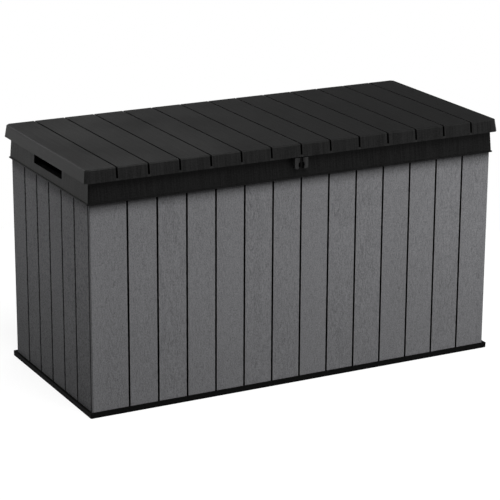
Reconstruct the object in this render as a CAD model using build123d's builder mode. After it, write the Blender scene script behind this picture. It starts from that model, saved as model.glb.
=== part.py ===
from build123d import *
import os
from math import cos, radians, sin

# Deck storage box: a resin box of wood-effect panels with a hinged lid.
# Millimetres, +Z up, front towards -Y, origin on the ground under the middle of the box.

# Overall size
length = 1450
depth = 656
height = 782

# Levels above the ground
base_height = 16
channel_floor = 6
floor_level = 14
collar_foot = 672
shoulder = 676
tongue_top = 698
collar_top = 745
lid_foot = 741.5

# How far each moulding stands out from the outside of the walls
lid_overhang = 17.5
lid_crown_outset = 12.8
collar_foot_outset = 4
collar_top_outset = -0.5
collar_lip_outset = 6.5
base_foot_outset = 8.5
base_flange_outset = 9

# Wall panels
wall_thickness = 16
wall_lap = 9
corner_seam = 1.5
wall_corner_cut = 3
groove_pitch = 98.7
front_groove_count = 13
front_groove_shift = 9
side_groove_count = 5
groove_mouth = 6
groove_floor = 5
groove_depth = 8
tongue_outer_inset = 5.5
tongue_inner_inset = 13
pocket_depth = 9
pocket_foot = 44
pocket_height = 470
pocket_rib = 18

# Collar rails
collar_corner_cut = 3.5
collar_lip_height = 3.5
rail_skin = 3.5
rail_inner_inset = 17
mitre_gap = 0.4
grip_length = 222
grip_foot = 703
grip_height = 27
grip_corner = 1.5
grip_wall = 4
grip_wall_inset = 0.7

# Base tray
base_corner_cut = 2.5
channel_gap = 0.5
floor_skin = 4
base_cells = (9, 4)
base_rib = 5
drain_count = 9
drain_pitch = 58
drain_width = 8
drain_end_cut = 2.5
drain_depth = 2

# Lid
lid_corner_cut = 10
lid_edge_round = 5
lid_crown = 6
lid_skin = 4.5
lid_skirt = 4
lid_board_count = 14
lid_groove_mouth = 6
lid_groove_floor = 4.5
lid_groove_depth = 6
skirt_groove_depth = 2.5
skirt_groove_rise = 6.5
cross_rib_width = 7
cross_rib_height = 10
rib_root = 1
seat_rib_inset = 4.5
seat_rib = 3
seat_gap = 0.4

# Steel bars under the lid
bar_width = 20
bar_height = 12
bar_wall = 1.5
bar_corner_cut = 2
bar_length = 1296
bar_spread = 105

# Hinges
hinge_y = 320
hinge_z = 733
hinge_positions = (-500, 0, 500)
knuckle_radius = 7
pin_radius = 3
pin_press = 0.02
pin_play = 0.06
rail_hinge_width = 90
knuckle_width = 29
knuckle_gap = 0.5
leaf_thickness = 3
rail_leaf_foot = 692
rail_leaf_top = 724
rail_arm_foot = 712
lid_leaf_width = 60
lid_leaf_foot = 744
lid_leaf_top = 772
pin_head_radius = 5
pin_head_length = 2.5

# Padlock hasp
hasp_width = 46
hasp_foot = 703.5
hasp_top = 738.5
hasp_front = 328
hasp_back_plate = 1.5
hasp_corner = 7
lock_window = 22
lock_slot = 11
lock_mouth = 17
eye_radius = 3.5
eye_z = 715.5
tongue_width = 8
tongue_foot = 706.5
tongue_corner = 4
tongue_front = 325.5
tongue_flange_width = 40
tongue_flange_foot = 748
tongue_flange_top = 771
tongue_back = 315.6

# Gas struts: the wall pivot and the lid pivot are the same distance from the hinge,
# so a strut turns through exactly half of the lid's angle
strut_arm = 180
strut_plane = 668
lid_pivot_rise = 12
closed_angle = 70
lid_swing = 75
strut_pin_radius = 4
strut_pin_play = 0.06
strut_collar_radius = 8
strut_head_radius = 7
stud_sides = 6
strut_eye_radius = 9
strut_eye_thickness = 10
cylinder_radius = 9
cylinder_foot = 14
cylinder_top = 178
cylinder_end = 6
cylinder_edge = 2
rod_radius = 4
rod_play = 0.1
rod_foot = 24
rod_eye_radius = 8
slot_play = 0.4
bracket_plate = 3
bracket_corner_cut = 6
pin_head_plate = 3
side_play = 1
wall_bracket_size = (36, 62)
lid_bracket_plate = 4
lid_bracket_offset = 11
lid_bracket_flange = (28, 62)

# How far a cut runs past the face that it opens
overshoot = 1

# Worked-out sizes
wall_half_length = length / 2 - lid_overhang
wall_half_depth = depth / 2 - lid_overhang
board_pitch = length / lid_board_count
lid_underside = height - lid_skin
lid_shoulder = height - lid_crown
lid_groove_places = [board_pitch * (k + 1) - length / 2 for k in range(lid_board_count - 1)]
front_groove_middle = (front_groove_count - 1) / 2
side_groove_middle = (side_groove_count - 1) / 2


def between(low, high, share):
    """The value at a share of the way from low to high."""
    return low + (high - low) * share


def rail_face(level):
    """Distance from the middle to the outside of the front and rear rails at one level."""
    share = (level - collar_foot) / (collar_top - collar_foot)
    return wall_half_depth + between(collar_foot_outset, collar_top_outset, share)


def skirt_face(level):
    """Distance from the middle to the inside of the lid's front and rear skirts at one level."""
    share = (level - lid_foot) / (lid_shoulder - lid_foot)
    return wall_half_depth - lid_skirt + between(lid_overhang, lid_crown_outset, share)


def block(low_outset, low_level, high_outset, high_level, corner):
    """A tapered slab between two levels, sized by its outset from the walls, with cut corners."""
    with BuildPart() as slab:
        for outset, level in ((low_outset, low_level), (high_outset, high_level)):
            with BuildSketch(Plane.XY.offset(level)) as outline:
                Rectangle(2 * (wall_half_length + outset), 2 * (wall_half_depth + outset))
                chamfer(outline.vertices(), corner)
        loft()
    return slab.part


def finish(piece, name):
    """Label a finished piece and write its file."""
    piece.label = name
    export_step(piece, f"parts/{name}.step")


os.makedirs("parts", exist_ok=True)

# Base tray: rim with an outward flange, a channel that takes the walls, a ribbed floor
island_inset = -wall_thickness - channel_gap
cell_room = 2 * (wall_half_length + island_inset - base_rib)
cell_depth_room = 2 * (wall_half_depth + island_inset - base_rib)
cell_x = cell_room / base_cells[0]
cell_y = cell_depth_room / base_cells[1]

with BuildPart() as base_tray:
    add(block(base_foot_outset, 0, base_flange_outset, base_height, base_corner_cut))
    add(
        block(channel_gap, channel_floor, channel_gap, base_height + overshoot, corner_seam),
        mode=Mode.SUBTRACT,
    )
    add(block(island_inset, channel_floor, island_inset, floor_level, corner_seam))
    with BuildSketch():
        with GridLocations(cell_x, cell_y, *base_cells):
            Rectangle(cell_x - base_rib, cell_y - base_rib)
    extrude(amount=floor_level - floor_skin, mode=Mode.SUBTRACT)
    with BuildSketch(Plane.XY.offset(floor_level)) as drains:
        with GridLocations(0, drain_pitch, 1, drain_count):
            Rectangle(cell_room, drain_width)
        chamfer(drains.vertices(), drain_end_cut)
    extrude(amount=-drain_depth, mode=Mode.SUBTRACT)
finish(base_tray.part, "base_tray")

# Walls: one plan outline with the board grooves in it, stood up on the base channel
groove_points = [
    (-groove_mouth / 2, -overshoot),
    (groove_mouth / 2, -overshoot),
    (groove_mouth / 2, 0),
    (groove_floor / 2, groove_depth),
    (-groove_floor / 2, groove_depth),
    (-groove_mouth / 2, 0),
]
wall_height = shoulder - channel_floor
tongue_middle = (tongue_outer_inset + tongue_inner_inset) / 2
tongue_thickness = tongue_inner_inset - tongue_outer_inset
pocket_middle_z = pocket_foot + pocket_height / 2

with BuildPart() as front_wall:
    with BuildSketch(Plane.XY.offset(channel_floor)):
        with Locations((0, -wall_half_depth + wall_lap / 2)):
            skin = Rectangle(2 * (wall_half_length - corner_seam), wall_lap)
        chamfer(skin.vertices().group_by(Axis.Y)[0], wall_corner_cut)
        with Locations((0, -wall_half_depth + wall_thickness / 2)):
            Rectangle(2 * (wall_half_length - wall_thickness), wall_thickness)
        for k in range(front_groove_count):
            groove_x = front_groove_shift + groove_pitch * (k - front_groove_middle)
            with Locations((groove_x, -wall_half_depth)):
                Polygon(*groove_points, align=None, mode=Mode.SUBTRACT)
    extrude(amount=wall_height)
    with BuildSketch(Plane.XY.offset(shoulder)):
        with Locations((0, -wall_half_depth + tongue_middle)):
            Rectangle(2 * (wall_half_length - wall_thickness), tongue_thickness)
    extrude(amount=tongue_top - shoulder)
    with BuildSketch(Plane.XZ.offset(wall_half_depth - wall_thickness)):
        with Locations((front_groove_shift, pocket_middle_z)):
            with GridLocations(groove_pitch, 0, front_groove_count - 1, 1):
                Rectangle(groove_pitch - pocket_rib, pocket_height)
    extrude(amount=pocket_depth, mode=Mode.SUBTRACT)
finish(front_wall.part, "front_wall")

# The rear wall is the same moulding turned end for end
with BuildPart() as rear_wall:
    add(front_wall.part, rotation=(0, 0, 180))
finish(rear_wall.part, "rear_wall")

side_half_width = wall_half_depth - wall_lap
with BuildPart() as right_wall:
    with BuildSketch(Plane.XY.offset(channel_floor)):
        with Locations((wall_half_length - wall_thickness / 2, 0)):
            Rectangle(wall_thickness, 2 * side_half_width)
        for k in range(side_groove_count):
            groove_y = groove_pitch * (k - side_groove_middle)
            with Locations(Location((wall_half_length, groove_y), 90)):
                Polygon(*groove_points, align=None, mode=Mode.SUBTRACT)
    extrude(amount=wall_height)
    with BuildSketch(Plane.XY.offset(shoulder)):
        with Locations((wall_half_length - tongue_middle, 0)):
            Rectangle(tongue_thickness, 2 * (wall_half_depth - wall_thickness))
    extrude(amount=tongue_top - shoulder)
    with BuildSketch(Plane.YZ.offset(wall_half_length - wall_thickness)):
        with Locations((0, pocket_middle_z)):
            with GridLocations(groove_pitch, 0, side_groove_count - 1, 1):
                Rectangle(groove_pitch - pocket_rib, pocket_height)
    extrude(amount=pocket_depth, mode=Mode.SUBTRACT)
finish(right_wall.part, "right_wall")

with BuildPart() as left_wall:
    add(right_wall.part, rotation=(0, 0, 180))
finish(left_wall.part, "left_wall")

# Collar: one hollow flared ring with a lip along its foot, cut into four mitred rails
with BuildPart() as collar_ring:
    add(block(collar_foot_outset, collar_foot, collar_top_outset, collar_top, collar_corner_cut))
    add(
        block(
            collar_lip_outset,
            collar_foot,
            collar_lip_outset,
            collar_foot + collar_lip_height,
            collar_corner_cut,
        )
    )
    add(
        block(
            channel_gap,
            collar_foot,
            collar_top_outset - rail_skin,
            collar_top - rail_skin,
            collar_corner_cut,
        ),
        mode=Mode.SUBTRACT,
    )
    add(
        block(
            -tongue_inner_inset,
            shoulder,
            -tongue_inner_inset,
            collar_top - rail_skin / 2,
            collar_corner_cut,
        )
    )
    add(
        block(-rail_inner_inset, collar_foot, -rail_inner_inset, collar_top, collar_corner_cut),
        mode=Mode.SUBTRACT,
    )


def mitre(side_x, side_y, into_x, into_y):
    """The plane of one mitred corner, facing into the rail that is kept."""
    shift = mitre_gap / 2
    corner_x = side_x * wall_half_length + into_x * shift
    corner_y = side_y * wall_half_depth + into_y * shift
    return Plane(origin=(corner_x, corner_y, 0), z_dir=(into_x, into_y, 0))


with BuildPart() as front_rail:
    add(collar_ring.part)
    split(bisect_by=Plane.XZ, keep=Keep.TOP)
    split(bisect_by=mitre(-1, -1, 1, -1), keep=Keep.TOP)
    split(bisect_by=mitre(1, -1, -1, -1), keep=Keep.TOP)
finish(front_rail.part, "front_rail")

with BuildPart() as rear_rail:
    add(front_rail.part, rotation=(0, 0, 180))
finish(rear_rail.part, "rear_rail")

# The end rails carry the hand grips: a walled slot right through the hollow rail
grip_middle_z = grip_foot + grip_height / 2
grip_outer = wall_half_length - grip_wall_inset
grip_inner = wall_half_length - tongue_inner_inset - grip_wall_inset
grip_cut_start = wall_half_length - 2 * wall_thickness
grip_cut_end = wall_half_length + wall_thickness
with BuildPart() as end_rail:
    add(collar_ring.part)
    split(bisect_by=mitre(1, -1, 1, 1), keep=Keep.TOP)
    split(bisect_by=mitre(1, 1, 1, -1), keep=Keep.TOP)
    with BuildSketch(Plane.YZ.offset(grip_inner)):
        with Locations((0, grip_middle_z)):
            Rectangle(grip_length + 2 * grip_wall, grip_height + 2 * grip_wall)
    extrude(amount=grip_outer - grip_inner)
    with BuildSketch(Plane.YZ.offset(grip_cut_start)):
        with Locations((0, grip_middle_z)):
            RectangleRounded(grip_length, grip_height, grip_corner)
    extrude(amount=grip_cut_end - grip_cut_start, mode=Mode.SUBTRACT)

# Each end rail is four pieces around its slot: two ends, the sill under it and the bar over it
slot_front = Plane.XZ.offset(grip_length / 2 - grip_corner)
slot_rear = Plane.XZ.offset(grip_corner - grip_length / 2)
with BuildPart() as rail_front_end:
    add(end_rail.part)
    split(bisect_by=slot_front, keep=Keep.TOP)
with BuildPart() as rail_rear_end:
    add(end_rail.part)
    split(bisect_by=slot_rear, keep=Keep.BOTTOM)
with BuildPart() as slot_span:
    add(end_rail.part)
    split(bisect_by=slot_front, keep=Keep.BOTTOM)
    split(bisect_by=slot_rear, keep=Keep.TOP)
grip_sill, grip_bar = slot_span.part.solids().sort_by(Axis.Z)

# The left end is the same four pieces turned round, so front and rear change places
for right_name, left_name, piece in (
    ("right_rail_front", "left_rail_rear", rail_front_end.part),
    ("right_rail_rear", "left_rail_front", rail_rear_end.part),
    ("right_grip_sill", "left_grip_sill", grip_sill),
    ("right_grip_bar", "left_grip_bar", grip_bar),
):
    with BuildPart() as right_piece:
        add(piece)
    finish(right_piece.part, right_name)
    with BuildPart() as left_piece:
        add(piece, rotation=(0, 0, 180))
    finish(left_piece.part, left_name)

# Lid: a shallow drafted shell of boards, with ribs under every groove and a seat rib on the collar
skirt_slope = (lid_overhang - lid_crown_outset) / (lid_shoulder - lid_foot)
lid_groove_points = [
    (-lid_groove_mouth / 2, -overshoot),
    (lid_groove_mouth / 2, -overshoot),
    (lid_groove_mouth / 2, 0),
    (lid_groove_floor / 2, lid_groove_depth),
    (-lid_groove_floor / 2, lid_groove_depth),
    (-lid_groove_mouth / 2, 0),
]
skirt_groove_points = [(x, min(y, skirt_groove_depth)) for x, y in lid_groove_points]
skirt_groove_foot = lid_foot + skirt_groove_rise
skirt_groove_y = skirt_face(skirt_groove_foot) + lid_skirt
bar_top = lid_underside - cross_rib_height
bar_middle = bar_top - bar_height / 2

with BuildPart() as lid_panel:
    add(block(lid_overhang, lid_foot, lid_crown_outset, lid_shoulder, lid_corner_cut))
    add(block(lid_crown_outset, lid_shoulder, lid_crown_outset, height, lid_corner_cut))
    fillet(lid_panel.edges().group_by(Axis.Z)[-1], lid_edge_round)
    add(
        block(
            lid_overhang - lid_skirt + skirt_slope * overshoot,
            lid_foot - overshoot,
            lid_crown_outset - lid_skirt,
            lid_underside,
            lid_corner_cut - lid_skirt / 2,
        ),
        mode=Mode.SUBTRACT,
    )
    # Seat rib that rests on top of the collar
    with BuildSketch(Plane.XY.offset(collar_top + seat_gap)):
        Rectangle(2 * (wall_half_length - seat_rib_inset), 2 * (wall_half_depth - seat_rib_inset))
        Rectangle(
            2 * (wall_half_length - seat_rib_inset - seat_rib),
            2 * (wall_half_depth - seat_rib_inset - seat_rib),
            mode=Mode.SUBTRACT,
        )
    extrude(until=Until.NEXT)
    # A rib behind every groove, with two saddles that the steel bars lie in
    with BuildSketch(Plane.XY.offset(bar_top - bar_height)):
        with GridLocations(board_pitch, 0, lid_board_count - 1, 1):
            Rectangle(cross_rib_width, 2 * (wall_half_depth - seat_rib_inset - seat_rib / 2))
    extrude(amount=bar_height + cross_rib_height + rib_root)
    with BuildSketch(Plane.YZ.offset(-bar_length / 2)):
        with Locations((-bar_spread, bar_middle), (bar_spread, bar_middle)):
            Rectangle(bar_width, bar_height)
    extrude(amount=bar_length, mode=Mode.SUBTRACT)
    # Board grooves over the top
    with BuildSketch(Plane.XZ):
        with Locations(*[Location((x, height), 180) for x in lid_groove_places]):
            Polygon(*lid_groove_points, align=None)
    extrude(amount=depth, both=True, mode=Mode.SUBTRACT)
    # Board grooves down the front and rear skirts
    for side in (-1, 1):
        skirt_plane = Plane(
            origin=(0, side * skirt_groove_y, skirt_groove_foot),
            x_dir=(-side, 0, 0),
            z_dir=(0, -side * skirt_slope, 1),
        )
        with BuildSketch(skirt_plane):
            with Locations(*[(x, 0) for x in lid_groove_places]):
                Polygon(*skirt_groove_points, align=None)
        extrude(amount=height - skirt_groove_foot + lid_edge_round, mode=Mode.SUBTRACT)
finish(lid_panel.part, "lid_panel")

# Steel bars: rectangular tube lying in the saddles of the ribs
for name, bar_y in (("lid_bar_front", -bar_spread), ("lid_bar_rear", bar_spread)):
    with BuildPart() as lid_bar:
        with BuildSketch(Plane.YZ.offset(-bar_length / 2)) as tube:
            with Locations((bar_y, bar_middle)):
                Rectangle(bar_width, bar_height)
                chamfer(tube.vertices(), bar_corner_cut)
                Rectangle(bar_width - 2 * bar_wall, bar_height - 2 * bar_wall, mode=Mode.SUBTRACT)
        extrude(amount=bar_length)
    finish(lid_bar.part, name)

# Hinges: a leaf on the rail with two knuckles, a leaf in the lid with one, and a headed pin
rail_knuckle_places = (knuckle_width / 2 + knuckle_gap, -rail_hinge_width / 2)
rail_knuckle_width = rail_hinge_width / 2 - knuckle_width / 2 - knuckle_gap
for number, hinge_x in enumerate(hinge_positions, start=1):
    with BuildPart() as rail_hinge:
        with BuildSketch(Plane.YZ.offset(hinge_x - rail_hinge_width / 2)):
            Polygon(
                (rail_face(rail_leaf_foot), rail_leaf_foot),
                (rail_face(rail_leaf_foot) + leaf_thickness, rail_leaf_foot),
                (rail_face(rail_leaf_top) + leaf_thickness, rail_leaf_top),
                (rail_face(rail_leaf_top), rail_leaf_top),
                align=None,
            )
        extrude(amount=rail_hinge_width)
        for start in rail_knuckle_places:
            with BuildSketch(Plane.YZ.offset(hinge_x + start)):
                with Locations((hinge_y, hinge_z)):
                    Circle(knuckle_radius)
                Polygon(
                    (rail_face(rail_arm_foot), rail_arm_foot),
                    (rail_face(rail_arm_foot) + leaf_thickness, rail_arm_foot),
                    (hinge_y + knuckle_radius, hinge_z),
                    (hinge_y - knuckle_radius, hinge_z),
                    align=None,
                )
                with Locations((hinge_y, hinge_z)):
                    Circle(pin_radius + pin_press, mode=Mode.SUBTRACT)
            extrude(amount=rail_knuckle_width)
    finish(rail_hinge.part, f"rail_hinge_{number}")

    with BuildPart() as lid_hinge:
        with BuildSketch(Plane.YZ.offset(hinge_x - lid_leaf_width / 2)):
            Polygon(
                (skirt_face(lid_leaf_foot), lid_leaf_foot),
                (skirt_face(lid_leaf_top), lid_leaf_top),
                (skirt_face(lid_leaf_top) - leaf_thickness, lid_leaf_top),
                (skirt_face(lid_leaf_foot) - leaf_thickness, lid_leaf_foot),
                align=None,
            )
        extrude(amount=lid_leaf_width)
        with BuildSketch(Plane.YZ.offset(hinge_x - knuckle_width / 2)):
            with Locations((hinge_y, hinge_z)):
                Circle(knuckle_radius)
            Polygon(
                (hinge_y - leaf_thickness, hinge_z),
                (hinge_y + leaf_thickness, hinge_z),
                (skirt_face(lid_leaf_foot), lid_leaf_foot),
                (skirt_face(lid_leaf_foot + leaf_thickness), lid_leaf_foot + leaf_thickness),
                (hinge_y - leaf_thickness, lid_leaf_foot + leaf_thickness),
                align=None,
            )
            with Locations((hinge_y, hinge_z)):
                Circle(pin_radius + pin_play, mode=Mode.SUBTRACT)
        extrude(amount=knuckle_width)
    finish(lid_hinge.part, f"lid_hinge_{number}")

    with BuildPart() as hinge_pin:
        with BuildSketch(Plane.YZ.offset(hinge_x - rail_hinge_width / 2)):
            with Locations((hinge_y, hinge_z)):
                Circle(pin_radius)
        extrude(amount=rail_hinge_width)
        with BuildSketch(Plane.YZ.offset(hinge_x + rail_hinge_width / 2)):
            with Locations((hinge_y, hinge_z)):
                Circle(pin_head_radius)
        extrude(amount=pin_head_length)
    finish(hinge_pin.part, f"hinge_pin_{number}")

# Padlock hasp on the front rail: two lugs on a back plate, with the shackle hole through both.
# Between them is a round window, which the lid's tongue drops into through a narrower slot
eye_y = -(tongue_front + tongue_back) / 2
rail_lean = (collar_foot_outset - collar_top_outset) / (collar_top - collar_foot)
front_rail_face = Plane(
    origin=(0, -rail_face(hasp_foot), hasp_foot),
    x_dir=(1, 0, 0),
    z_dir=(0, -1, rail_lean),
)
hasp_reach = hasp_front - rail_face(collar_top)
with BuildPart() as hasp_block:
    with BuildSketch(Plane.XZ.offset(hasp_front)) as hasp_outline:
        with Locations((0, (hasp_foot + hasp_top) / 2)):
            Rectangle(hasp_width, hasp_top - hasp_foot)
        fillet(hasp_outline.vertices().group_by(Axis.Y)[0], hasp_corner)
    extrude(amount=-hasp_reach)
    split(bisect_by=front_rail_face, keep=Keep.TOP)
    with BuildSketch(front_rail_face.offset(hasp_back_plate)):
        with Locations((0, eye_z - hasp_foot)):
            Circle(lock_window / 2)
            Rectangle(lock_slot, hasp_width, align=(Align.CENTER, Align.MIN))
            Rectangle(lock_mouth, hasp_width, align=(Align.CENTER, Align.MAX))
    extrude(amount=hasp_reach, mode=Mode.SUBTRACT)
    with BuildSketch(Plane.YZ.offset(-hasp_width)):
        with Locations((eye_y, eye_z)):
            Circle(eye_radius)
    extrude(amount=2 * hasp_width, mode=Mode.SUBTRACT)
finish(hasp_block.part, "hasp_block")

# The lid's tongue drops between the lugs and has the same hole
with BuildPart() as lid_tongue:
    with BuildSketch(Plane.YZ.offset(-tongue_width / 2)) as tongue_outline:
        Polygon(
            (-tongue_front, tongue_foot),
            (-tongue_back, tongue_foot),
            (-tongue_back, tongue_flange_top),
            (-skirt_face(tongue_flange_top), tongue_flange_top),
            (-skirt_face(lid_foot), lid_foot),
            (-skirt_face(lid_foot), hasp_top),
            (-tongue_front, hasp_top),
            align=None,
        )
        fillet(tongue_outline.vertices().group_by(Axis.Y)[0], tongue_corner)
        with Locations((eye_y, eye_z)):
            Circle(eye_radius, mode=Mode.SUBTRACT)
    extrude(amount=tongue_width)
    with BuildSketch(Plane.YZ.offset(-tongue_flange_width / 2)):
        Polygon(
            (-skirt_face(tongue_flange_foot), tongue_flange_foot),
            (-skirt_face(tongue_flange_foot) + leaf_thickness, tongue_flange_foot),
            (-skirt_face(tongue_flange_top) + leaf_thickness, tongue_flange_top),
            (-skirt_face(tongue_flange_top), tongue_flange_top),
            align=None,
        )
    extrude(amount=tongue_flange_width)
finish(lid_tongue.part, "lid_tongue")

# Gas struts, laid out in the plane of the strut with the lid closed
lid_pivot_y = hinge_y - (strut_arm**2 - lid_pivot_rise**2) ** 0.5
lid_pivot_z = hinge_z + lid_pivot_rise
lid_pivot = Vector(0, lid_pivot_y, lid_pivot_z)
hinge_line = Vector(0, hinge_y, hinge_z)
wall_pivot = hinge_line + (lid_pivot - hinge_line).rotate(Axis.X, closed_angle)
strut_axis = (lid_pivot - wall_pivot).normalized()
closed_length = (lid_pivot - wall_pivot).length
open_length = 2 * strut_arm * sin(radians(closed_angle + lid_swing) / 2)
stroke = open_length - closed_length
# The rod follows the lid at a steady rate, so its eye is a slot as long as the largest difference
middle_length = 2 * strut_arm * sin(radians(closed_angle + lid_swing / 2) / 2)
slot_length = middle_length * (1 - cos(radians(lid_swing) / 4))
slot_travel = slot_length + slot_play
print(f"wall pivot {wall_pivot.Y:.3f} {wall_pivot.Z:.3f}, lid pivot {lid_pivot_y:.3f} {lid_pivot_z:.3f}")
print(f"strut axis {strut_axis.Y:.6f} {strut_axis.Z:.6f}, closed {closed_length:.3f}, stroke {stroke:.4f}")
print(f"rate {stroke / radians(lid_swing) / 1000:.6f} m per radian, slot {slot_length:.2f}")

eye_near = strut_plane + strut_eye_thickness / 2 + side_play
eye_far = strut_plane - strut_eye_thickness / 2 - side_play


def stud(start, stud_y, stud_z, side):
    """The stud that a strut eye turns on: a six-sided collar, a round pin and a six-sided head."""
    with BuildPart() as stud_piece:
        with BuildSketch(Plane.YZ.offset(start)):
            with Locations((stud_y, stud_z)):
                RegularPolygon(strut_collar_radius, stud_sides)
        extrude(amount=side * eye_near - start)
        with BuildSketch(Plane.YZ.offset(side * eye_near)):
            with Locations((stud_y, stud_z)):
                Circle(strut_pin_radius)
        extrude(amount=side * (eye_far - eye_near))
        with BuildSketch(Plane.YZ.offset(side * eye_far)):
            with Locations((stud_y, stud_z)):
                RegularPolygon(strut_head_radius, stud_sides)
        extrude(amount=-side * pin_head_plate)
    return stud_piece.part


for side_name, side in (("left", -1), ("right", 1)):
    strut_x = side * strut_plane
    foot = wall_pivot + Vector(strut_x, 0, 0)
    # Plane across the strut at its foot, and the plane that the strut swings in
    along = Plane(origin=foot, x_dir=(1, 0, 0), z_dir=strut_axis)
    swing = Plane(origin=foot, x_dir=strut_axis, z_dir=(1, 0, 0))

    with BuildPart() as strut_cylinder:
        with BuildSketch(swing):
            Circle(strut_eye_radius)
        extrude(amount=strut_eye_thickness / 2, both=True)
        with BuildSketch(along):
            RegularPolygon(strut_eye_thickness / 2, stud_sides)
        extrude(amount=cylinder_foot)
        with BuildSketch(along.offset(cylinder_foot)):
            Circle(cylinder_radius)
        extrude(amount=cylinder_top - cylinder_foot)
        end_edge = strut_cylinder.edges().filter_by(GeomType.CIRCLE).sort_by(along.location.z_axis)[-1]
        chamfer(end_edge, cylinder_edge)
        with BuildSketch(along.offset(cylinder_foot + cylinder_end)):
            Circle(rod_radius + rod_play)
        extrude(amount=cylinder_top - cylinder_foot, mode=Mode.SUBTRACT)
        with BuildSketch(swing):
            Circle(strut_pin_radius + strut_pin_play)
        extrude(amount=strut_eye_thickness, both=True, mode=Mode.SUBTRACT)
    finish(strut_cylinder.part, f"strut_cylinder_{side_name}")

    with BuildPart() as strut_rod:
        with BuildSketch(along.offset(rod_foot)):
            Circle(rod_radius)
        extrude(amount=closed_length - rod_foot)
        with BuildSketch(swing):
            with Locations((closed_length + slot_travel / 2, 0)):
                SlotCenterToCenter(slot_travel, 2 * rod_eye_radius)
        extrude(amount=strut_eye_thickness / 2, both=True)
        with BuildSketch(swing):
            with Locations((closed_length + slot_travel / 2, 0)):
                SlotCenterToCenter(slot_travel, 2 * (strut_pin_radius + slot_play))
        extrude(amount=strut_eye_thickness, both=True, mode=Mode.SUBTRACT)
    finish(strut_rod.part, f"strut_rod_{side_name}")

    # Both brackets are drawn across the box and grown towards its middle
    inward = -side
    wall_inside = wall_half_length - wall_thickness
    bracket_outside = strut_plane + lid_bracket_offset + lid_bracket_plate

    with BuildPart() as wall_bracket:
        with BuildSketch(Plane.YZ.offset(side * wall_inside)) as plate_outline:
            with Locations((foot.Y, foot.Z)):
                Rectangle(*wall_bracket_size)
            chamfer(plate_outline.vertices(), bracket_corner_cut)
        extrude(amount=inward * bracket_plate)
        add(stud(side * wall_inside, foot.Y, foot.Z, side))
    finish(wall_bracket.part, f"strut_wall_bracket_{side_name}")

    with BuildPart() as lid_bracket:
        with BuildSketch(Plane.YZ.offset(side * bracket_outside)):
            with Locations((lid_pivot_y, lid_pivot_z)):
                Circle(strut_eye_radius)
            Polygon(
                (lid_pivot_y - strut_eye_radius, lid_pivot_z),
                (lid_pivot_y + strut_eye_radius, lid_pivot_z),
                (lid_pivot_y + lid_bracket_flange[1] / 2, lid_underside),
                (lid_pivot_y - lid_bracket_flange[1] / 2, lid_underside),
                align=None,
            )
        extrude(amount=inward * lid_bracket_plate)
        with BuildSketch(Plane.XY.offset(lid_underside)):
            with Locations((side * (bracket_outside - lid_bracket_flange[0] / 2), lid_pivot_y)):
                Rectangle(*lid_bracket_flange)
        extrude(amount=-bracket_plate)
        add(stud(side * bracket_outside, lid_pivot_y, lid_pivot_z, side))
    finish(lid_bracket.part, f"strut_lid_bracket_{side_name}")
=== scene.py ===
# %% [markdown]
# # Dressing a deck storage box
# The walls, collar, lid, hinges and gas struts of this box come from its solids, already in place and
# at their real size. What they lack is everything that makes a resin garden box look like one: the
# wood grain pressed into its panels, the dull black of its lid, dust, zinc, and the screws that hold
# the fittings. Each step below adds one of these, and the last ones light the box and set the camera.

# %% Load the frame
import math

import bmesh
import bpy
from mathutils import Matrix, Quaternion, Vector


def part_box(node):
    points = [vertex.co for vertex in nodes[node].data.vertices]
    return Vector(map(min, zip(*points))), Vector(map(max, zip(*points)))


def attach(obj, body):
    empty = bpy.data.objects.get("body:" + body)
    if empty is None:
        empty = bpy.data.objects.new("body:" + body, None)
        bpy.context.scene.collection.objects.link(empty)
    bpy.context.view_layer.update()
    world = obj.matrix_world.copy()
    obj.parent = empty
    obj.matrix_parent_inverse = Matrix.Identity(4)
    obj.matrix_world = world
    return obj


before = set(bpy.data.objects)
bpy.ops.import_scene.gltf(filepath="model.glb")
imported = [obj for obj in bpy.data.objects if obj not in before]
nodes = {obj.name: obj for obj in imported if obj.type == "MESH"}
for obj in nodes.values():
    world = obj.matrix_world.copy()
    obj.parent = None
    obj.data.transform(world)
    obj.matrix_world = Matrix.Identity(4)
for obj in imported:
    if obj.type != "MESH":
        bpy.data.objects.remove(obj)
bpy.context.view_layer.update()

# %% [markdown]
# ## Small helpers for shader nodes
# A finish is a tree of small sums: scale a position, look up a noise, mix two colours. Wiring every
# node by hand buries the idea, so each of these short helpers makes a node or two and hands back the
# result.

# %% Helpers for numbers
def feed(tree, socket, value):
    """Link a socket to another node's result, or set it to a plain value."""
    if isinstance(value, bpy.types.NodeSocket):
        tree.links.new(value, socket)
    else:
        socket.default_value = value


def calc(tree, operation, *values):
    """The result of one Math node."""
    node = tree.nodes.new("ShaderNodeMath")
    node.operation = operation
    for socket, value in zip(node.inputs, values):
        feed(tree, socket, value)
    return node.outputs[0]


def weighted(tree, start, *terms):
    """A sum: start, plus every value times its weight."""
    result = start
    for value, weight in terms:
        result = calc(tree, "MULTIPLY_ADD", value, weight, result)
    return result


def fade(tree, value, start, end, first=0.0, last=1.0):
    """A soft step: first below start, last above end, and smooth between them."""
    node = tree.nodes.new("ShaderNodeMapRange")
    node.interpolation_type = "SMOOTHSTEP"
    labels = ("Value", "From Min", "From Max", "To Min", "To Max")
    for label, number in zip(labels, (value, start, end, first, last)):
        feed(tree, node.inputs[label], number)
    return node.outputs["Result"]


print("number helpers ready")

# %% Helpers for noise and colour
def cloud(tree, place, density, detail=2.0):
    """Noise between 0 and 1; density is how many grains there are to a metre, in three directions."""
    joined = tree.nodes.new("ShaderNodeCombineXYZ")
    for socket, value, number in zip(joined.inputs, place, density):
        feed(tree, socket, calc(tree, "MULTIPLY", value, number))
    node = tree.nodes.new("ShaderNodeTexNoise")
    feed(tree, node.inputs["Vector"], joined.outputs[0])
    node.inputs["Scale"].default_value = 1.0
    node.inputs["Detail"].default_value = detail
    return node.outputs["Fac"]


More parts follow.
